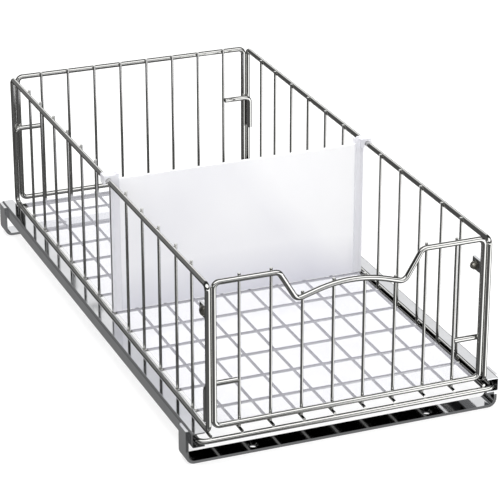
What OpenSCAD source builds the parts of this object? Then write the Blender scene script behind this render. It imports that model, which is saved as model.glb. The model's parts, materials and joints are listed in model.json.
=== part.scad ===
// Pull-out wire basket for a kitchen base cabinet.
// A chromed basket slides forward (-Y) on a runner loop inside two C-channel
// rails, which two flat straps hold to the cabinet floor. X is across the
// cabinet, Y goes back into it, Z is up. The origin is the middle of the
// footprint, on the cabinet floor.

/* [Basket] */
// Width between the centre lines of the two side panels
basket_w = 244; // [200:1:420]
// Length between the centre lines of the side panels' end wires
basket_l = 524; // [440:1:600]
// Height between the bottom and top wires of the side panels
basket_h = 126.5; // [100:0.5:180]
// How far the end panels' bottom wires stand above those of the side panels
end_rise = 3.6; // [0.5:0.1:6]
// How far their top wires stand above those of the side panels
end_top_rise = 1.7; // [0:0.1:3]
// Bend radius of the panels' corners, on the wire's centre line
corner_r = 5; // [4:0.5:12]
// How far the front and rear panels stand inside the side panels' end wires
end_inset = 0.3; // [0.2:0.1:1]
// Gap between an end panel's upright edge and the side panel beside it
panel_gap = 0.2; // [0.1:0.1:0.5]

/* [Wire] */
// Diameter of the heavy frame wire
frame_d = 4.7; // [4:0.1:6]
// Diameter of the thin filler wire
filler_d = 2.5; // [2:0.1:3.2]
// How far two welded wires melt into each other
weld_sink = 0.1; // [0.05:0.05:0.2]
// Height of the uprights' tips above the top wire's centre line
tip_rise = 3; // [2.5:0.1:5]

/* [Mesh] */
// Number of floor wires that run from front to rear
long_count = 10; // [6:1:14]
// How far the outermost of them lie inside the side panels' centre lines
long_inset = 0.9; // [0:0.1:1.5]
// How far their ends reach past the side panels' end wires
long_reach = 2.8; // [0.5:0.1:4]
// Number of floor wires that run across, each with an upright at both ends
cross_count = 12; // [8:1:16]
// Distance from the front end of the basket to the first cross wire
cross_front_gap = 39.5; // [25:0.5:60]
// Distance from the last cross wire to the rear end of the basket
cross_rear_gap = 39.8; // [25:0.1:60]
// How far the uprights nearest the ends stand inside the outermost cross wires
end_upright_in = 4.7; // [3:0.1:8]

/* [Front opening] */
// Half width of the dip in the front panel's top wire, at the shoulders
dip_half_w = 62.2; // [54:0.1:66]
// Half width of the dip at its two low points
dip_low_half_w = 46.8; // [42:0.1:50]
// Depth of the low points below the straight stretch of the top wire
dip_depth = 25.9; // [10:0.1:40]
// Height above the low points at which the slopes up from them would meet
dip_crest_rise = 14; // [4:0.1:16]
// Bend radius at the shoulders and the low points
dip_bend_r = 6; // [4:0.5:8]
// Bend radius of the arch between those slopes
dip_crest_r = 105; // [40:1:105]

/* [End hooks] */
// Height of the front hooks' rods above the side panels' bottom wires
front_hook_z = 38.8; // [36:0.1:60]
// Height of the rear hooks' rods above the side panels' bottom wires
rear_hook_z = 77.8; // [40:0.1:90]
// Length of a hook's leg, from the rod's centre line down to its tip
hook_leg = 31.6; // [20:0.1:33]
// Bend radius of a hook
hook_bend_r = 5; // [4:0.5:7]

/* [Corner tabs] */
// Height of the tabs' middle above the side panels' bottom wires
tab_z = 99.5; // [85:0.1:105]
// Height of a tab
tab_h = 10.5; // [8:0.1:14]
// Thickness of a tab
tab_t = 1.2; // [0.8:0.1:1.6]
// Distance from the end of the basket to a tab's inner edge
tab_reach = 21; // [18:0.1:26]
// Distance from the end of the basket to the screw's axis
screw_reach = 13.7; // [11:0.1:15]
// Diameter of the screw's shank
screw_d = 4; // [3:0.1:5]
// Diameter of the screw's domed head
screw_head_d = 9.8; // [8:0.1:10]
// Height of the screw's domed head
screw_head_h = 2.8; // [1.5:0.1:3.5]
// Width of the cap nut across its flats
nut_af = 7; // [6.5:0.1:8]
// Height of the cap nut's hexagon
nut_h = 2.6; // [2:0.1:4]

/* [Floor liner] */
// Thickness of the liner
liner_t = 1; // [0.6:0.1:2]
// Gap between the liner's edges and the uprights
liner_edge_gap = 0.6; // [0.3:0.1:3]
// Corner radius of the liner
liner_corner_r = 6; // [2:0.5:12]

/* [Divider] */
// Cross wire that the divider stands over, counted from the front
divider_slot = 6; // [2:1:7]
// Thickness of the divider's sheet
divider_t = 2.4; // [1.5:0.1:3]
// Height of the sheet's top edge above the side panels' bottom wires
divider_top = 126; // [60:0.5:126.5]
// Wall thickness of the edge clips
clip_wall = 1.4; // [1:0.1:2]
// Depth of the slot that holds the sheet's edge
clip_slot = 4; // [2:0.1:8]
// Length of a clip's saddle along the top wire
saddle_l = 10; // [7:0.1:16]
// How far a saddle reaches down outside the top wire's centre line
saddle_drop = 3.2; // [1:0.1:6]

/* [Runner and rails] */
// How far the runner's side wires stand outside the side panels' centre lines
runner_out = 9.5; // [9:0.1:14]
// How far its end wires stand outside the ends of the basket
runner_end_out = 3; // [0:0.1:5]
// Bend radius of the runner's corners
runner_corner_r = 8; // [6:0.5:12]
// Thickness of the rails' sheet
rail_t = 1; // [0.8:0.1:1.6]
// Width of a rail's two flanges, over the web
rail_flange = 11; // [8:0.1:11]
// Inside bend radius of a rail
rail_bend_r = 0.8; // [0.4:0.1:1]
// Height of the rails' underside above the cabinet floor
rail_lift = 18.2; // [16:0.1:40]
// How far the rails' front ends stand behind the front of the runner
rail_setback = 4.7; // [0:0.1:8]

/* [Glides] */
// Length of a glide shoe
shoe_l = 24; // [12:0.5:36]
// Wall of a shoe below the runner wire
shoe_under = 1.5; // [0.6:0.1:2]
// Wall of a shoe above the runner wire
shoe_over = 3.7; // [1:0.1:5]
// Wall of a shoe on both sides of the runner wire
shoe_side = 1.2; // [0.8:0.1:2]
// Distance from the front of the runner to the front shoes' middle
front_shoe_in = 35; // [32:0.5:50]
// Distance from the rear of the runner to the rear shoes' middle
rear_shoe_in = 42; // [40:0.5:50]
// Distance between a front shoe and the guide behind it
guide_behind = 8; // [2:0.5:40]
// Length of a front guide
guide_l = 24; // [12:0.5:36]
// Length of a rear bumper
bumper_l = 9; // [4:0.5:10]

/* [Straps] */
// Width of a mounting strap
strap_w = 16.5; // [14:0.5:40]
// Thickness of a strap
strap_t = 2.5; // [1.5:0.1:3]
// Inside bend radius of a strap
strap_bend_r = 5; // [3:0.5:10]
// How far a strap's legs end below the rails' top
strap_leg_drop = 1; // [0:0.1:4]
// Distance from the rails' front ends to the front strap
front_strap_in = 7.5; // [0:0.5:40]
// Distance from the rails' rear ends to the rear strap
rear_strap_in = 0; // [0:0.5:40]
// Distance between the two screw holes of a strap
hole_spacing = 156; // [100:1:200]
// Diameter of a screw hole
hole_d = 5; // [4:0.1:6]
// Diameter of its countersink
sink_d = 9; // [7:0.1:11]
// Straight depth of the hole under the countersink
hole_land = 0.8; // [0.3:0.1:1.2]

/* [Clearances] */
// Running clearance between the glides and what they slide on
glide_gap = 0.3; // [0.2:0.05:0.5]
// Clearance between the divider's clips and the wires, all round
clip_gap = 0.3; // [0.2:0.05:0.5]
// Clearance of a screw in its hole, all round
screw_gap = 0.15; // [0.1:0.05:0.3]
// Clearance between parts that lie against each other
seat_gap = 0.05; // [0.02:0.01:0.1]

/* [Hidden] */
$fn = 48;

frame_r = frame_d / 2;
filler_r = filler_d / 2;

// A bend's tube is a hair thicker than the straight wire, which ends inside it
bend_swell = 0.02;
bend_lap = 0.2;

// Across: side panels, end panels' edges, uprights, runner and rails
side_x = basket_w / 2;
edge_x = side_x - frame_d - panel_gap;
upright_x = side_x - frame_r - filler_r + weld_sink;
runner_x = side_x + runner_out;
rail_in_x = runner_x + frame_r + shoe_side + glide_gap;
rail_x = rail_in_x + rail_t;
long_pitch = (basket_w - 2 * long_inset) / (long_count - 1);

// Along: ends of the basket, end panels, runner and rails
end_y = basket_l / 2;
panel_y = end_y - end_inset;
end_upright_y = panel_y - frame_r - filler_r + weld_sink;
runner_y = end_y + runner_end_out;
runner_end = runner_y + frame_r;
rail_front = -runner_end + rail_setback;
rail_rear = runner_end;
cross_pitch = (basket_l - cross_front_gap - cross_rear_gap) / (cross_count - 1);
divider_y = cross_y(divider_slot - 1);

// Heights, from the rails up to the rim
channel_z0 = rail_lift + rail_t;
runner_z = channel_z0 + glide_gap + shoe_under + frame_r;
channel_z1 = runner_z + frame_r + shoe_over + glide_gap;
rail_top = channel_z1 + rail_t;
long_z = runner_z + frame_r + filler_r - weld_sink;
cross_z = long_z + filler_d - weld_sink;
base_z = long_z + filler_r + frame_r - weld_sink;
rim_z = base_z + basket_h;
tip_z = rim_z + tip_rise;
end_base_z = base_z + end_rise;
end_h = basket_h + end_top_rise - end_rise;
end_tip_z = end_base_z + end_h + tip_rise;
liner_z = cross_z + filler_r + seat_gap;
divider_z = liner_z + liner_t + clip_gap;

// Glides along the rails
front_shoe_y = -runner_end + front_shoe_in;
rear_shoe_y = runner_end - rear_shoe_in;
guide_y = front_shoe_y + shoe_l / 2 + guide_behind + guide_l / 2;
bumper_y = rear_shoe_y + shoe_l / 2 + glide_gap + bumper_l / 2;
block_r = rail_bend_r + glide_gap;

// Corner tabs and their screws
tab_x = (edge_x + side_x) / 2;
tabs_out = tab_x + seat_gap / 2 + tab_t;
tabs_in = tab_x - seat_gap / 2 - tab_t;
screw_y = -end_y + screw_reach;
screw_z = base_z + tab_z;

// Edge clips of the divider
clip_bore = filler_r + clip_gap;
clip_r = clip_bore + clip_wall;
clip_mouth = side_x - frame_r - clip_gap;
slot_x = upright_x - clip_r;
sheet_half_w = slot_x - seat_gap;
saddle_z = tip_z + clip_gap + clip_wall;
saddle_out = side_x + frame_r + clip_gap + clip_wall;

steel = [0.78, 0.79, 0.81];
dark_steel = [0.55, 0.56, 0.58];
nylon = [0.12, 0.12, 0.13];
frosted = [0.93, 0.93, 0.96, 0.6];

function cross_y(i) = -end_y + cross_front_gap + i * cross_pitch;
function long_x(i) = (i - (long_count - 1) / 2) * long_pitch;

// The side panels' uprights stand on the cross wires, but for the ones at the ends
function side_upright_y(i) =
    i == 0 ? cross_y(0) + end_upright_in :
    i == cross_count - 1 ? cross_y(i) - end_upright_in : cross_y(i);

// Height of the front panel's top wire above its straight stretch, at x
function dip_z(x) =
    let (a = abs(x), slope = atan(dip_crest_rise / dip_low_half_w), r = dip_crest_r)
    a >= dip_half_w ? 0 :
    a >= dip_low_half_w ? -dip_depth * (dip_half_w - a) / (dip_half_w - dip_low_half_w) :
    a >= r * sin(slope) ? -dip_depth + dip_crest_rise * (dip_low_half_w - a) / dip_low_half_w :
    -dip_depth + dip_crest_rise - r / cos(slope) + sqrt(r * r - a * a);

// ---- Wire forms ----

function heading(a, b) = atan2(b[1] - a[1], b[0] - a[0]);
function turn(a, b, c) =
    let (t = heading(b, c) - heading(a, b))
    t > 180 ? t - 360 : t < -180 ? t + 360 : t;
function setback(a, b, c, r) = r * tan(abs(turn(a, b, c)) / 2);

// Straight round wire from p towards q, in the XY plane, less a length at each
// end where a bend takes over
module straight(p, q, d, cut_p, cut_q) {
    from = max(cut_p - bend_lap, 0);
    to = max(cut_q - bend_lap, 0);
    translate([p[0], p[1], 0])
        rotate([0, 90, heading(p, q)])
            translate([0, 0, from])
                cylinder(h = norm(q - p) - from - to, d = d);
}

// Bend of radius r at corner b, between the wires that come from a and go to c
module bend(a, b, c, r, d) {
    angle = turn(a, b, c);
    side = sign(angle);
    start = heading(a, b) - 90 * side;
    back = setback(a, b, c, r);
    translate([
        b[0] - back * cos(heading(a, b)) - r * cos(start),
        b[1] - back * sin(heading(a, b)) - r * sin(start), 0
    ])
        rotate([0, 0, side > 0 ? start : start + angle])
            rotate_extrude(angle = abs(angle))
                translate([r, 0])
                    circle(d = d + bend_swell);
}

// Closed wire loop through corner points [x, y, bend radius], in the XY plane
module wire_loop(points, d) {
    n = len(points);
    for (i = [0:n - 1]) {
        a = points[(i + n - 1) % n];
        b = points[i];
        c = points[(i + 1) % n];
        e = points[(i + 2) % n];
        bend(flat(a), flat(b), flat(c), b[2], d);
        straight(flat(b), flat(c), d, back_at(a, b, c), back_at(b, c, e));
    }
}

function flat(p) = [p[0], p[1]];
function back_at(a, b, c) = setback(flat(a), flat(b), flat(c), b[2]);

// Loop of a plain panel, half_l to each side and h tall
module panel_loop(half_l, h) {
    wire_loop([
        [half_l, 0, corner_r], [half_l, h, corner_r],
        [-half_l, h, corner_r], [-half_l, 0, corner_r]
    ], frame_d);
}

// Stands a form that is drawn in the XY plane up in the XZ plane, at depth y
// and height z
module stand_across(y, z) {
    translate([0, y, z]) rotate([90, 0, 0]) children();
}

// Stands it up in the YZ plane, at x, on the side panels' bottom wires' height
module stand_along(x) {
    translate([x, 0, base_z]) rotate([90, 0, 90]) children();
}

module upright(x, y, z0, z1) {
    translate([x, y, z0]) cylinder(h = z1 - z0, d = filler_d);
}

// ---- Rails and straps ----

// Half profile of a folded strip: a foot of length half_l that turns up into a
// leg h tall, outside the corner at the origin
module folded_profile(half_l, h, t, r) {
    outer = r + t;
    translate([-half_l, 0]) square([half_l - outer, t]);
    translate([-t, outer]) square([t, h - outer]);
    translate([-outer, outer])
        difference() {
            intersection() {
                circle(r = outer);
                translate([0, -outer]) square([outer, outer]);
            }
            circle(r = r);
        }
}

// C-channel that opens towards the basket
module rail() {
    height = rail_top - rail_lift;
    translate([rail_x, rail_front, rail_lift])
        rotate([90, 0, 180])
            mirror([1, 0, 0])
                linear_extrude(height = rail_rear - rail_front) {
                    folded_profile(rail_flange, height / 2, rail_t, rail_bend_r);
                    translate([0, height])
                        mirror([0, 1])
                            folded_profile(rail_flange, height / 2, rail_t, rail_bend_r);
                }
}

// Flat bar folded up at both ends, with two countersunk screw holes
module strap(front_edge) {
    half_w = rail_x + strap_t;
    leg = rail_top - strap_leg_drop;
    difference() {
        translate([0, front_edge + strap_w, 0])
            rotate([90, 0, 0])
                linear_extrude(height = strap_w) {
                    translate([half_w, 0]) folded_profile(half_w, leg, strap_t, strap_bend_r);
                    mirror([1, 0])
                        translate([half_w, 0])
                            folded_profile(half_w, leg, strap_t, strap_bend_r);
                }
        for (side = [-1, 1])
            translate([side * hole_spacing / 2, front_edge + strap_w / 2, 0]) {
                translate([0, 0, -1]) cylinder(h = strap_t + 2, d = hole_d);
                translate([0, 0, hole_land])
                    cylinder(h = strap_t - hole_land, d1 = hole_d, d2 = sink_d);
                translate([0, 0, strap_t]) cylinder(h = 1, d = sink_d);
            }
    }
}

// ---- Glides ----

// Block in the right rail's channel with the runner wire through it, len long
// around y, with a gap to the channel and another round the wire; its edges along
// the web are rounded to clear the rail's bends
module channel_block(y, len, channel_gap, wire_gap) {
    x0 = runner_x - frame_r - wire_gap - shoe_side;
    x1 = rail_in_x - channel_gap;
    z0 = channel_z0 + channel_gap;
    z1 = channel_z1 - channel_gap;
    translate([0, y + len / 2, 0])
        rotate([90, 0, 0])
            linear_extrude(height = len)
                difference() {
                    union() {
                        translate([x0, z0]) square([x1 - block_r - x0, z1 - z0]);
                        translate([x0, z0 + block_r])
                            square([x1 - x0, z1 - z0 - 2 * block_r]);
                        translate([x1 - block_r, z0 + block_r]) circle(r = block_r);
                        translate([x1 - block_r, z1 - block_r]) circle(r = block_r);
                    }
                    translate([runner_x, runner_z]) circle(r = frame_r + wire_gap);
                }
}

module on_both_sides() {
    children();
    mirror([1, 0, 0]) children();
}

// ---- End panels and hooks ----

// The uprights of an end panel stand on the inner long wires
module end_uprights(y, front) {
    for (i = [1:long_count - 2])
        upright(long_x(i), y, long_z + filler_r - weld_sink,
            end_tip_z + (front ? dip_z(long_x(i)) : 0));
}

// Rod that runs from the outermost end upright past the panel's edge and turns
// down behind the side panel's end wire
module hook(y, z) {
    start = [long_x(long_count - 2) + filler_r + clip_gap, z];
    corner = [side_x, z];
    foot = [side_x, z - hook_leg];
    back = setback(start, corner, foot, hook_bend_r);
    stand_across(y, base_z) {
        straight(start, corner, frame_d, 0, back);
        bend(start, corner, foot, hook_bend_r, frame_d);
        straight(corner, foot, frame_d, back, 0);
    }
}

// ---- Corner tabs ----

// Plate with the screw's hole, x0 to x0 + tab_t, that runs inwards from the end
// wire at wire_y; its near face lies offset from the wire's centre line
module tab_plate(x0, wire_y, offset) {
    y0 = wire_y + sqrt(frame_r * frame_r - offset * offset) - weld_sink;
    difference() {
        translate([x0, y0, screw_z - tab_h / 2])
            cube([tab_t, -end_y + tab_reach - y0, tab_h]);
        translate([x0 - 1, screw_y, screw_z])
            rotate([0, 90, 0])
                cylinder(h = tab_t + 2, r = screw_d / 2 + screw_gap);
    }
}

// Domed screw head with its flat face on the XY plane, dome towards +Z
module domed_head(d, h) {
    r = (d * d / 4 + h * h) / (2 * h);
    intersection() {
        translate([0, 0, h - r]) sphere(r = r);
        cylinder(h = h + 1, d = d);
    }
}

// ---- Sub-parts ----

module rail_right() { color(dark_steel) rail(); }
module rail_left() { color(dark_steel) mirror([1, 0, 0]) rail(); }

module front_strap() { color(steel) strap(rail_front + front_strap_in); }
module rear_strap() { color(steel) strap(rail_rear - rear_strap_in - strap_w); }

module front_guides() {
    color(nylon) on_both_sides() channel_block(guide_y, guide_l, 0, glide_gap);
}

module rear_bumpers() {
    color(nylon) on_both_sides() channel_block(bumper_y, bumper_l, 0, glide_gap);
}

module front_shoes() {
    color(nylon) on_both_sides() channel_block(front_shoe_y, shoe_l, glide_gap, seat_gap);
}

module rear_shoes() {
    color(nylon) on_both_sides() channel_block(rear_shoe_y, shoe_l, glide_gap, seat_gap);
}

module runner_loop() {
    r = runner_corner_r;
    color(steel)
        translate([0, 0, runner_z])
            wire_loop([
                [runner_x, -runner_y, r], [runner_x, runner_y, r],
                [-runner_x, runner_y, r], [-runner_x, -runner_y, r]
            ], frame_d);
}

module floor_long_wires() {
    reach = end_y + long_reach;
    color(steel)
        for (i = [0:long_count - 1])
            translate([long_x(i), reach, long_z])
                rotate([90, 0, 0])
                    cylinder(h = 2 * reach, d = filler_d);
}

module floor_cross_wires() {
    reach = side_x - frame_r + weld_sink;
    color(steel)
        for (i = [0:cross_count - 1])
            translate([-reach, cross_y(i), cross_z])
                rotate([0, 90, 0])
                    cylinder(h = 2 * reach, d = filler_d);
}

module floor_liner() {
    half_w = upright_x - filler_r - liner_edge_gap;
    half_l = end_upright_y - filler_r - liner_edge_gap;
    r = liner_corner_r;
    color(frosted)
        translate([0, 0, liner_z])
            linear_extrude(height = liner_t) {
                square([2 * half_w, 2 * (half_l - r)], center = true);
                square([2 * (half_w - r), 2 * half_l], center = true);
                for (x = [-1, 1], y = [-1, 1])
                    translate([x * (half_w - r), y * (half_l - r)]) circle(r = r);
            }
}

module side_frame_right() { color(steel) stand_along(side_x) panel_loop(end_y, basket_h); }
module side_frame_left() { color(steel) stand_along(-side_x) panel_loop(end_y, basket_h); }

module side_uprights_right() {
    color(steel)
        for (i = [0:cross_count - 1])
            upright(upright_x, side_upright_y(i), cross_z + (
                i % (cross_count - 1) == 0 ? -filler_r : filler_r - weld_sink
            ), tip_z);
}

module side_uprights_left() {
    color(steel) mirror([1, 0, 0]) side_uprights_right();
}

module front_frame() {
    h = end_h;
    low = h - dip_depth;
    color(steel)
        stand_across(-panel_y, end_base_z)
            wire_loop([
                [-edge_x, 0, corner_r], [edge_x, 0, corner_r], [edge_x, h, corner_r],
                [dip_half_w, h, dip_bend_r], [dip_low_half_w, low, dip_bend_r],
                [0, low + dip_crest_rise, dip_crest_r],
                [-dip_low_half_w, low, dip_bend_r], [-dip_half_w, h, dip_bend_r],
                [-edge_x, h, corner_r]
            ], frame_d);
}

module rear_frame() {
    color(steel) stand_across(panel_y, end_base_z) panel_loop(edge_x, end_h);
}

module front_uprights() { color(steel) end_uprights(-end_upright_y, true); }
module rear_uprights() { color(steel) end_uprights(end_upright_y, false); }

module front_hooks() {
    color(steel) on_both_sides() hook(-panel_y + frame_d - weld_sink, front_hook_z);
}

module rear_hooks() {
    color(steel) on_both_sides() hook(panel_y - frame_d + weld_sink, rear_hook_z);
}

module front_tabs() {
    x0 = tab_x - seat_gap / 2 - tab_t;
    color(dark_steel) on_both_sides() tab_plate(x0, -panel_y, x0 - edge_x);
}

module side_tabs() {
    x0 = tab_x + seat_gap / 2;
    color(dark_steel) on_both_sides() tab_plate(x0, -end_y, side_x - x0 - tab_t);
}

module tab_screws() {
    shank = tabs_out - tabs_in + nut_h;
    color(dark_steel)
        on_both_sides()
            translate([tabs_out + seat_gap, screw_y, screw_z])
                rotate([0, 90, 0]) {
                    domed_head(screw_head_d, screw_head_h);
                    translate([0, 0, -shank]) cylinder(h = shank, d = screw_d);
                }
}

module tab_nuts() {
    dome_r = nut_af / 2 - 0.3;
    color(dark_steel)
        on_both_sides()
            translate([tabs_in - seat_gap, screw_y, screw_z])
                rotate([0, -90, 0])
                    difference() {
                        union() {
                            cylinder(h = nut_h, d = nut_af / cos(30), $fn = 6);
                            intersection() {
                                translate([0, 0, nut_h]) sphere(r = dome_r);
                                cylinder(h = nut_h + dome_r, r = dome_r);
                            }
                        }
                        translate([0, 0, -1])
                            cylinder(h = nut_h + 1 + seat_gap, r = screw_d / 2 + seat_gap);
                    }
}

module divider_panel() {
    z1 = base_z + divider_top;
    color(frosted)
        translate([-sheet_half_w, divider_y - divider_t / 2, divider_z])
            cube([2 * sheet_half_w, divider_t, z1 - divider_z]);
}

// Edge clip: a C that snaps round the upright, a slot for the sheet's edge and a
// saddle over the top wire
module divider_clip() {
    slot_half = divider_t / 2 + seat_gap;
    height = saddle_z - divider_z;
    difference() {
        union() {
            translate([upright_x, divider_y, divider_z]) cylinder(h = height, r = clip_r);
            translate([slot_x - clip_slot, divider_y - slot_half - clip_wall, divider_z])
                cube([clip_slot + clip_wall, 2 * (slot_half + clip_wall), height]);
            translate([slot_x, divider_y - saddle_l / 2, rim_z - saddle_drop])
                cube([saddle_out - slot_x, saddle_l, saddle_z - rim_z + saddle_drop]);
        }
        // mouth of the C, up to the top wire
        translate([clip_mouth, divider_y - clip_r - 1, divider_z - 1])
            cube([clip_r, 2 * clip_r + 2, rim_z - divider_z + 1]);
        // seat of the saddle on the top wire
        translate([side_x, divider_y + saddle_l, rim_z])
            rotate([90, 0, 0])
                cylinder(h = 2 * saddle_l, r = frame_r + clip_gap);
        translate([clip_mouth, divider_y - saddle_l, rim_z - saddle_drop - 1])
            cube([2 * (frame_r + clip_gap), 2 * saddle_l, saddle_drop + 1]);
        // bore round the upright
        translate([upright_x, divider_y, divider_z - 1])
            cylinder(h = tip_z + clip_gap - divider_z + 1, r = clip_bore);
        // slot for the sheet's edge
        translate([slot_x - clip_slot - 1, divider_y - slot_half, divider_z - 1])
            cube([clip_slot + 1, 2 * slot_half, height + 2]);
    }
}

module divider_clip_right() { color(frosted) divider_clip(); }
module divider_clip_left() { color(frosted) mirror([1, 0, 0]) divider_clip(); }

rail_left();
rail_right();
front_strap();
rear_strap();
front_guides();
rear_bumpers();
runner_loop();
front_shoes();
rear_shoes();
floor_long_wires();
floor_cross_wires();
floor_liner();
side_frame_left();
side_frame_right();
side_uprights_left();
side_uprights_right();
front_frame();
front_uprights();
front_hooks();
rear_frame();
rear_uprights();
rear_hooks();
front_tabs();
side_tabs();
tab_screws();
tab_nuts();
divider_panel();
divider_clip_left();
divider_clip_right();
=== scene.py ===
import json
import math

import bmesh
import bpy
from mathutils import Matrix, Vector


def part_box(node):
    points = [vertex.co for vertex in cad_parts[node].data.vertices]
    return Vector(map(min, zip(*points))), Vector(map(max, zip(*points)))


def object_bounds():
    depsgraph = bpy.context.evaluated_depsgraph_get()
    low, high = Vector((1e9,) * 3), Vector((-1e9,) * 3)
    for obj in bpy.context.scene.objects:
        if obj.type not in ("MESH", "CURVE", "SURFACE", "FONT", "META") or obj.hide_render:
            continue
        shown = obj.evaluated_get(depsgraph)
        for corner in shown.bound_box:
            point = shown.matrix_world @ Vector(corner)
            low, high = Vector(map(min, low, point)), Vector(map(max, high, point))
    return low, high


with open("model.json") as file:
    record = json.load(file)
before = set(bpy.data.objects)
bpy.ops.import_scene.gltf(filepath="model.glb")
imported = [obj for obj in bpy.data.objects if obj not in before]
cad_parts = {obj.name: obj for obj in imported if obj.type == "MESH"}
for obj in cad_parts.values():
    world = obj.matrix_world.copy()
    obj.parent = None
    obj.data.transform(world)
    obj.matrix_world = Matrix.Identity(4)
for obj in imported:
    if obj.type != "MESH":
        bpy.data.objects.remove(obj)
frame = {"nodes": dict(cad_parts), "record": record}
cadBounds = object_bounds()
nodes = frame["nodes"]
scene = bpy.context.scene
print("frame loaded:", len(nodes), "nodes")


def linearColor(hexText):
    # sRGB hex to the linear values that the sockets want
    values = [int(hexText[i:i + 2], 16) / 255 for i in (1, 3, 5)]
    return tuple(v / 12.92 if v <= 0.04045 else ((v + 0.055) / 1.055) ** 2.4 for v in values) + (1.0,)


def addNode(tree, kind, sockets=None, **settings):
    # one node with its settings; a socket is given a value or another node's output
    node = tree.nodes.new(kind)
    for name, value in settings.items():
        setattr(node, name, value)
    for name, value in (sockets or {}).items():
        if isinstance(value, bpy.types.NodeSocket):
            tree.links.new(value, node.inputs[name])
        else:
            node.inputs[name].default_value = value
    return node


def newMaterial(name):
    material = bpy.data.materials.new(name)
    material.use_nodes = True
    material.node_tree.nodes.clear()
    return material


def perMillimetre(size):
    # noise scale for features of this size in mm, as the object's coordinates are metres
    return 1000.0 / size


def cardMesh(name, corners, material):
    # one flat card from its four corners, its front to the side that sees them run anticlockwise
    mesh = bpy.data.meshes.new(name)
    mesh.from_pydata(corners, [], [(0, 1, 2, 3)])
    mesh.materials.append(material)
    return mesh


def levelCorners(west, east, south, north, z):
    # a level card that faces up
    return [(west, south, z), (east, south, z), (east, north, z), (west, north, z)]


def uprightCorners(x, south, north, low, high):
    # an upright card that runs from front to back and faces right
    return [(x, south, low), (x, north, low), (x, north, high), (x, south, high)]


# camera: long lens from the front left, looking down on the basket
view = {
    "place": (-0.7044, -1.7951, 0.8913),
    "azimuth": -21.934,
    "elevation": 23.267,
    "lens": 167.72,
    "sensor": 36.0,
    "shift": (0.0012, 0.0016),
    "farthest": 50.0,
}
cameraData = bpy.data.cameras.new("camera")
cameraData.lens = view["lens"]
cameraData.sensor_width = view["sensor"]
cameraData.shift_x, cameraData.shift_y = view["shift"]
cameraData.clip_end = view["farthest"]
camera = bpy.data.objects.new("camera", cameraData)
camera.location = view["place"]
camera.rotation_euler = (math.radians(90 - view["elevation"]), 0, math.radians(view["azimuth"]))
scene.collection.objects.link(camera)
scene.camera = camera
scene.view_settings.view_transform = "Standard"

white = linearColor("#ffffff")
studio = {
    "fill": 0.66,  # strength of the sky on everything matt
    "floorSize": 12.0,
    "floorColor": "#a8a8a8",
    "floorLift": 0.68,  # brings the open floor up to white and leaves the shadow
    "floorDrop": 0.0002,  # leaves the straps clear of the floor
    "aim": (0.0, 0.0, 0.08),  # where the softboxes point
}


def litFromEverywhere(tree):
    # 1 for what the camera sees, directly, in a mirror or through a clear sheet
    path = addNode(tree, "ShaderNodeLightPath")
    seen = addNode(tree, "ShaderNodeMath", {0: path.outputs["Is Camera Ray"],
                   1: path.outputs["Is Glossy Ray"]}, operation="MAXIMUM")
    return addNode(tree, "ShaderNodeMath", {0: seen.outputs[0],
                   1: path.outputs["Is Transmission Ray"]}, operation="MAXIMUM").outputs[0]


world = bpy.data.worlds.new("studio")
scene.world = world
world.use_nodes = True
tree = world.node_tree
tree.nodes.clear()
fill = addNode(tree, "ShaderNodeBackground", {"Color": white, "Strength": studio["fill"]})
backdrop = addNode(tree, "ShaderNodeBackground", {"Color": white, "Strength": 1.0})
sky = addNode(tree, "ShaderNodeMixShader", {0: litFromEverywhere(tree), 1: fill.outputs[0],
              2: backdrop.outputs[0]})
addNode(tree, "ShaderNodeOutputWorld", {"Surface": sky.outputs[0]})

paleFloor = newMaterial("paleFloor")
tree = paleFloor.node_tree
lift = addNode(tree, "ShaderNodeMath", {0: litFromEverywhere(tree), 1: studio["floorLift"]},
               operation="MULTIPLY")
paint = addNode(tree, "ShaderNodeBsdfDiffuse", {"Color": linearColor(studio["floorColor"])})
glow = addNode(tree, "ShaderNodeEmission", {"Color": white, "Strength": lift.outputs[0]})
both = addNode(tree, "ShaderNodeAddShader", {0: paint.outputs[0], 1: glow.outputs[0]})
addNode(tree, "ShaderNodeOutputMaterial", {"Surface": both.outputs[0]})
half = studio["floorSize"] / 2
floor = bpy.data.objects.new("floor", cardMesh("floor", levelCorners(-half, half, -half, half, 0), paleFloor))
floor.location.z = cadBounds[0].z - studio["floorDrop"]
scene.collection.objects.link(floor)
floor.visible_glossy = False

softboxes = {
    "overhead": {"place": (-0.3, -0.5, 2.3), "size": (1.6, 1.3), "power": 38},
    "frontLeft": {"place": (-1.3, -2.3, 1.2), "size": (1.4, 1.4), "power": 32},
    "right": {"place": (2.2, -0.4, 1.3), "size": (0.9, 1.6), "power": 13},
    "behind": {"place": (0.9, 2.3, 1.4), "size": (1.4, 1.2), "power": 20},
}
for name, box in softboxes.items():
    lamp = bpy.data.lights.new(name, "AREA")
    lamp.shape = "RECTANGLE"
    lamp.size, lamp.size_y = box["size"]
    lamp.energy = box["power"]
    lampObject = bpy.data.objects.new(name, lamp)
    lampObject.location = box["place"]
    aim = Vector(studio["aim"]) - Vector(box["place"])
    lampObject.rotation_euler = aim.to_track_quat("-Z", "Y").to_euler()
    lampObject.visible_glossy = False
    scene.collection.objects.link(lampObject)

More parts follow.
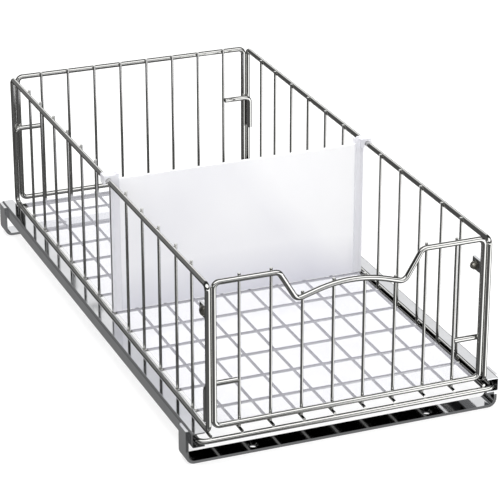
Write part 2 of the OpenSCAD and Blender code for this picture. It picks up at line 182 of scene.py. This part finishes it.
# a tent round the table, seen by nothing but the chrome: white overhead, in front and on the right, grey
# high up at the back left, a soft lamp at the back right and nearly black elsewhere, so that each wire
# shows the light and dark lines of real plate
tent = {
    "radius": 3.0,
    "segments": (48, 24),
    "white": 1.6,
    "wall": (0.035, 0.2),  # all round, and high up at the back left
    "low": (0.11, 0.04),  # below the table's height: in front and behind
    "table": 0.23,  # painted shade: glow of the grey card that the chrome sees as the table top close round the rails
    "inside": 0.09,  # painted shade: glow of the grey cards over the basket's floor and inside its right side
    "lamp": 1.05,  # the soft lamp at the back right
}
tentCloth = newMaterial("tentCloth")
tree = tentCloth.node_tree
place = addNode(tree, "ShaderNodeTexCoord").outputs["Object"]
way = addNode(tree, "ShaderNodeVectorMath", {0: place}, operation="NORMALIZE").outputs[0]
across, along, up = addNode(tree, "ShaderNodeSeparateXYZ", {0: way}).outputs
headings = {
    "right": (0.951, 0.309, 0.0),
    "highBackLeft": (-0.34, 0.85, 0.39),
    "lamp": (0.36, 0.85, 0.39),
}
towards = {}
for name, heading in headings.items():
    match = addNode(tree, "ShaderNodeVectorMath", {0: way, 1: heading}, operation="DOT_PRODUCT")
    towards[name] = match.outputs["Value"]
# each ramp: what it follows, where it begins and ends, then its two values if they aren't 0 and 1
ramps = {
    "overhead": (up, 0.52, 0.62),
    "notBehind": (along, -0.08, -0.24),
    "inFront": (along, -0.05, -0.30),
    "rising": (up, 0.02, 0.12),
    "underRoof": (up, 0.26, 0.18),
    "notLeft": (across, -0.85, -0.6),
    "rightward": (towards["right"], 0.0, 0.10),
    "forward": (along, -0.22, -0.38),
    "notBelow": (up, -0.62, -0.44),
    "backLamp": (towards["lamp"], 0.955, 0.975, 0.0, tent["lamp"]),
    "wall": (towards["highBackLeft"], 0.72, 0.95, *tent["wall"]),
    "low": (along, 0.1, 0.45, *tent["low"]),
    "sunk": (up, 0.05, -0.05),
}
ramp = {}
for name, row in ramps.items():
    shade = addNode(tree, "ShaderNodeMapRange", dict(enumerate(row)), interpolation_type="SMOOTHSTEP")
    ramp[name] = shade.outputs[0]
# the tent's parts, each from two of the ramps or parts before it
folds = {
    "front": ("MULTIPLY", "inFront", "rising"),
    "frontStrip": ("MULTIPLY", "front", "underRoof"),
    "frontPanel": ("MULTIPLY", "frontStrip", "notLeft"),
    "side": ("MULTIPLY", "rightward", "forward"),
    "sideStrip": ("MULTIPLY", "side", "underRoof"),
    "sidePanel": ("MULTIPLY", "sideStrip", "notBelow"),
    "panels": ("MAXIMUM", "frontPanel", "sidePanel"),
    "roof": ("MULTIPLY", "overhead", "notBehind"),
    "lit": ("MAXIMUM", "panels", "roof"),
    "under": ("MULTIPLY", "low", "sunk"),
    "darkSide": ("MAXIMUM", "under", "wall"),
    "grey": ("MAXIMUM", "darkSide", "backLamp"),
}
for name, (operation, first, second) in folds.items():
    fold = addNode(tree, "ShaderNodeMath", {0: ramp[first], 1: ramp[second]}, operation=operation)
    ramp[name] = fold.outputs[0]
bright = addNode(tree, "ShaderNodeMath", {0: ramp["lit"], 1: tent["white"]}, operation="MULTIPLY")
emission = addNode(tree, "ShaderNodeMath", {0: bright.outputs[0], 1: ramp["grey"]}, operation="MAXIMUM")
glow = addNode(tree, "ShaderNodeEmission", {"Color": white, "Strength": emission.outputs[0]})
addNode(tree, "ShaderNodeOutputMaterial", {"Surface": glow.outputs[0]})

tentMesh = bpy.data.meshes.new("tent")
ball = bmesh.new()
aroundTent, upTent = tent["segments"]
bmesh.ops.create_uvsphere(ball, u_segments=aroundTent, v_segments=upTent, radius=tent["radius"])
ball.to_mesh(tentMesh)
ball.free()
tentMesh.materials.append(tentCloth)

# painted shade: a grey glow that the chrome alone sees in place of the table top close by
tableShadeGlow = newMaterial("tableShadeGlow")
tree = tableShadeGlow.node_tree
tableShadeEmission = addNode(tree, "ShaderNodeEmission", {"Color": white, "Strength": tent["table"]})
addNode(tree, "ShaderNodeOutputMaterial", {"Surface": tableShadeEmission.outputs[0]})


def paintedShadeMaterial(name, strength):
    # painted shade: a dark glowing card, seen from its front alone
    material = newMaterial(name)
    tree = material.node_tree
    behind = addNode(tree, "ShaderNodeNewGeometry").outputs["Backfacing"]
    emission = addNode(tree, "ShaderNodeEmission", {"Color": white, "Strength": strength})
    clear = addNode(tree, "ShaderNodeBsdfTransparent")
    sides = addNode(tree, "ShaderNodeMixShader", {0: behind, 1: emission.outputs[0], 2: clear.outputs[0]})
    addNode(tree, "ShaderNodeOutputMaterial", {"Surface": sides.outputs[0]})
    return material


# painted shade: dark cards under and over the liner and inside the right side, seen by the chrome alone,
# stand in
# for the shade there: they keep the straps' mirror, the rear wires and the right side dark
paintedShadeBlack = paintedShadeMaterial("paintedShadeBlack", 0.0)
paintedShadeGrey = paintedShadeMaterial("paintedShadeGrey", tent["inside"])
reach = {
    "underOverhang": 0.0065,  # past the liner, over the long wires' ends
    "linerGap": 2e-5,  # from the liner to the painted shade cards under and over it
    "sideGap": 0.002,  # from the right side's wires to its painted shade cards
    "sideBlack": 0.015,  # height of the black painted shade card, from the base wire's underside
    "sideOver": 0.014,  # of the grey painted shade card, above the top wire
    "tableSides": 0.035,  # of the table top, past the straps' ends
    "tableFront": 0.008,
    "tableRear": 0.07,
    "tableDrop": 1e-4,
}
linerLow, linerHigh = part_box("floor_liner")
sideLow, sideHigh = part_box("side_frame_right")
shadeCardX = sideLow[0] - reach["sideGap"]
blackShadeTop = sideLow[2] + reach["sideBlack"]
underCorners = levelCorners(linerLow[0], linerHigh[0], linerLow[1] - reach["underOverhang"],
                            linerHigh[1] + reach["underOverhang"], linerLow[2] - reach["linerGap"])
underCorners.reverse()  # faces down
overCorners = levelCorners(linerLow[0], linerHigh[0], linerLow[1], linerHigh[1],
                           linerHigh[2] + reach["linerGap"])
lowCorners = uprightCorners(shadeCardX, sideLow[1], sideHigh[1], sideLow[2], blackShadeTop)
highCorners = uprightCorners(shadeCardX, sideLow[1], sideHigh[1], blackShadeTop, sideHigh[2] + reach["sideOver"])
tableCorners = levelCorners(cadBounds[0].x - reach["tableSides"], cadBounds[1].x + reach["tableSides"],
                            cadBounds[0].y - reach["tableFront"], cadBounds[1].y + reach["tableRear"],
                            cadBounds[0].z - reach["tableDrop"])
cards = {
    "paintedShadeUnder": (underCorners, paintedShadeBlack),
    "paintedShadeOver": (overCorners, paintedShadeGrey),
    "paintedShadeLow": (lowCorners, paintedShadeBlack),
    "paintedShadeHigh": (highCorners, paintedShadeGrey),
    "table": (tableCorners, tableShadeGlow),
}
for mesh in [tentMesh] + [cardMesh(name, corners, material) for name, (corners, material) in cards.items()]:
    card = bpy.data.objects.new(mesh.name, mesh)
    scene.collection.objects.link(card)
    card.visible_camera = False
    card.visible_diffuse = False
    card.visible_transmission = False
    card.visible_shadow = False
print("studio set")

noiseDetail = {"blotch": 3.0, "grain": 3.0, "fine": 2.0}


def platedSteel(name, look):
    # bright plate on polished steel: a cold mirror, a little duller in soft blotches
    material = newMaterial(name)
    tree = material.node_tree
    place = addNode(tree, "ShaderNodeTexCoord").outputs["Object"]
    blotch = addNode(tree, "ShaderNodeTexNoise", {"Vector": place, "Scale": perMillimetre(look["blotchMm"]),
                     "Detail": noiseDetail["blotch"]})
    rough = addNode(tree, "ShaderNodeMapRange", {0: blotch.outputs["Fac"], 1: look["blotches"][0],
                    2: look["blotches"][1], 3: look["rough"][0], 4: look["rough"][1]})
    tone = addNode(tree, "ShaderNodeMix", {0: blotch.outputs["Fac"], 6: linearColor(look["plate"]),
                   7: linearColor(look["dull"])}, data_type="RGBA")
    grain = addNode(tree, "ShaderNodeMapping", {"Vector": place, "Scale": look["stretch"]})
    ripple = addNode(tree, "ShaderNodeTexNoise", {"Vector": grain.outputs[0],
                     "Scale": perMillimetre(look["rippleMm"]), "Detail": noiseDetail["fine"]})
    bump = addNode(tree, "ShaderNodeBump", {"Height": ripple.outputs["Fac"], "Strength": look["bump"],
                   "Distance": look["depthMm"] / 1000})
    plate = addNode(tree, "ShaderNodeBsdfPrincipled", {"Base Color": tone.outputs[2], "Metallic": 1.0,
                    "Roughness": rough.outputs[0], "Normal": bump.outputs[0]})
    addNode(tree, "ShaderNodeOutputMaterial", {"Surface": plate.outputs[0]})
    return material


# drawn steel wire, welded, then bright chrome plated: a hard cold mirror with a slight orange peel
wireLook = {
    "plate": "#e3e3e1",
    "dull": "#d4d4d1",
    "rough": (0.02, 0.05),
    "blotches": (0.35, 0.7),
    "blotchMm": 14.0,
    "rippleMm": 1.2,  # the orange peel of thick plate
    "stretch": (1.0, 1.0, 1.0),
    "depthMm": 0.02,
    "bump": 0.25,
}
wirePlate = platedSteel("chromePlatedWire", wireLook)

# rolled steel sheet, pressed and folded, then bright chrome plated: a mirror softened by its rolling grain
sheetLook = {
    "plate": "#dddee0",
    "dull": "#cbccce",
    "rough": (0.05, 0.11),
    "blotches": (0.35, 0.7),
    "blotchMm": 22.0,
    "rippleMm": 0.8,  # rolling grain, long along the strip
    "stretch": (1.0, 0.06, 1.0),
    "depthMm": 0.015,
    "bump": 0.2,
}
sheetPlate = platedSteel("chromePlatedSheet", sheetLook)

# steel screws and nuts, barrel nickel plated: warmer and duller than the chrome
fastenerLook = {
    "plate": "#cfccc4",
    "dull": "#bbb8ae",
    "rough": (0.22, 0.32),
    "blotches": (0.35, 0.7),
    "blotchMm": 4.0,
    "rippleMm": 0.5,
    "stretch": (1.0, 1.0, 1.0),
    "depthMm": 0.02,
    "bump": 0.3,
}
fastenerPlate = platedSteel("nickelPlatedSteel", fastenerLook)

# glass filled nylon, moulded: near black with a satin spark-eroded skin
nylonLook = {
    "color": "#1a1a1b",
    "light": "#232324",
    "rough": (0.42, 0.55),
    "ior": 1.53,
    "grainMm": 0.35,  # finer on the real skin, as coarse here as it needs to show
    "depthMm": 0.03,
    "bump": 0.5,
}


def mouldedNylon(name, look):
    material = newMaterial(name)
    tree = material.node_tree
    place = addNode(tree, "ShaderNodeTexCoord").outputs["Object"]
    grain = addNode(tree, "ShaderNodeTexNoise", {"Vector": place, "Scale": perMillimetre(look["grainMm"]),
                    "Detail": noiseDetail["grain"]})
    tone = addNode(tree, "ShaderNodeMix", {0: grain.outputs["Fac"], 6: linearColor(look["color"]),
                   7: linearColor(look["light"])}, data_type="RGBA")
    rough = addNode(tree, "ShaderNodeMapRange", {0: grain.outputs["Fac"], 3: look["rough"][0],
                    4: look["rough"][1]})
    bump = addNode(tree, "ShaderNodeBump", {"Height": grain.outputs["Fac"], "Strength": look["bump"],
                   "Distance": look["depthMm"] / 1000})
    skin = addNode(tree, "ShaderNodeBsdfPrincipled", {"Base Color": tone.outputs[2], "IOR": look["ior"],
                   "Roughness": rough.outputs[0], "Normal": bump.outputs[0]})
    addNode(tree, "ShaderNodeOutputMaterial", {"Surface": skin.outputs[0]})
    return material


nylon = mouldedNylon("mouldedNylon", nylonLook)


def frostedPlastic(name, look):
    # translucent polypropylene with a frosted skin: pale haze over whatever lies behind it
    material = newMaterial(name)
    tree = material.node_tree
    place = addNode(tree, "ShaderNodeTexCoord").outputs["Object"]
    cloud = addNode(tree, "ShaderNodeTexNoise", {"Vector": place, "Scale": perMillimetre(look["cloudMm"]),
                    "Detail": noiseDetail["fine"]})
    cloudAndShade = cloud.outputs["Fac"]
    # painted shade: each heading given makes the tone cooler and darker along it
    for heading, begins, ends, share in look["paintedShades"]:
        slant = addNode(tree, "ShaderNodeVectorMath", {0: place, 1: heading}, operation="DOT_PRODUCT")
        shadeAdded = addNode(tree, "ShaderNodeMapRange", {0: slant.outputs["Value"], 1: begins, 2: ends,
                        4: share})
        cloudAndShade = addNode(tree, "ShaderNodeMath", {0: cloudAndShade, 1: shadeAdded.outputs[0]}, operation="ADD").outputs[0]
    cloudAndShadeMix = addNode(tree, "ShaderNodeMapRange", {0: cloudAndShade, 1: look["clear"], 2: look["full"]})
    tone = addNode(tree, "ShaderNodeMix", {0: cloudAndShadeMix.outputs[0], 6: linearColor(look["pale"]),
                   7: linearColor(look["cool"])}, data_type="RGBA")
    haze = addNode(tree, "ShaderNodeMapRange", {0: cloud.outputs["Fac"], 3: look["haze"][0],
                   4: look["haze"][1]})
    frost = addNode(tree, "ShaderNodeTexNoise", {"Vector": place, "Scale": perMillimetre(look["frostMm"]),
                    "Detail": noiseDetail["fine"]})
    rough = addNode(tree, "ShaderNodeMapRange", {0: frost.outputs["Fac"], 3: look["rough"][0],
                    4: look["rough"][1]})
    bump = addNode(tree, "ShaderNodeBump", {"Height": frost.outputs["Fac"], "Strength": look["bump"],
                   "Distance": look["depthMm"] / 1000})
    skin = addNode(tree, "ShaderNodeBsdfPrincipled", {"Base Color": tone.outputs[2], "IOR": look["ior"],
                   "Roughness": rough.outputs[0], "Alpha": haze.outputs[0], "Normal": bump.outputs[0]})
    addNode(tree, "ShaderNodeOutputMaterial", {"Surface": skin.outputs[0]})
    return material


# thin extruded polypropylene, frosted on both faces: a pale veil that the floor wires show through
linerLook = {
    "pale": "#ebebf2",
    "cool": "#dedee8",
    "paintedShades": [],
    "clear": 0.0,  # where the cool tone begins and where it is full
    "full": 1.0,
    "haze": (0.18, 0.28),
    "rough": (0.35, 0.5),
    "ior": 1.49,
    "cloudMm": 60.0,
    "frostMm": 0.6,  # finer on the real sheet, as coarse here as it needs to show
    "depthMm": 0.05,
    "bump": 0.3,
}
linerSheet = frostedPlastic("frostedLinerSheet", linerLook)

# thicker extruded polypropylene, frosted: white and nearly opaque, with painted shade that makes it cooler
# and darker to the left and low down
dividerLook = {
    "pale": "#fefeff",
    "cool": "#cfcfda",
    "paintedShades": [  # painted shade along a heading: where it begins, where it is full and how much it adds
        ((1.0, 0.0, 0.72), 0.135, 0.10, 0.5),  # to the left
        ((0.0, 0.0, 1.0), 0.073, 0.03, 1.2),  # low down
    ],
    "clear": 0.55,
    "full": 2.7,
    "haze": (0.86, 0.94),
    "rough": (0.35, 0.5),
    "ior": 1.49,
    "cloudMm": 80.0,
    "frostMm": 0.6,  # finer on the real sheet, as coarse here as it needs to show
    "depthMm": 0.05,
    "bump": 0.3,
}
dividerSheet = frostedPlastic("frostedDividerSheet", dividerLook)

# polypropylene, injection moulded: clearer and smoother than the sheets
clipLook = {
    "pale": "#f6f6f9",
    "cool": "#e9e9f0",
    "paintedShades": [],
    "clear": 0.0,
    "full": 1.0,
    "haze": (0.6, 0.75),
    "rough": (0.18, 0.3),
    "ior": 1.49,
    "cloudMm": 10.0,
    "frostMm": 0.5,  # likewise
    "depthMm": 0.02,
    "bump": 0.2,
}
clipMoulding = frostedPlastic("mouldedClip", clipLook)

finishes = {
    "chrome_wire": wirePlate,
    "chrome_sheet": sheetPlate,
    "fastener_steel": fastenerPlate,
    "black_nylon": nylon,
    "frosted_sheet": linerSheet,
    "frosted_divider": dividerSheet,
    "clip_plastic": clipMoulding,
}
subparts = frame["record"]["subparts"]
for part in subparts:
    for slot in nodes[part["node"]].material_slots:
        slot.material = finishes[part["material_slot"]]
print("finishes on", len(subparts), "nodes")
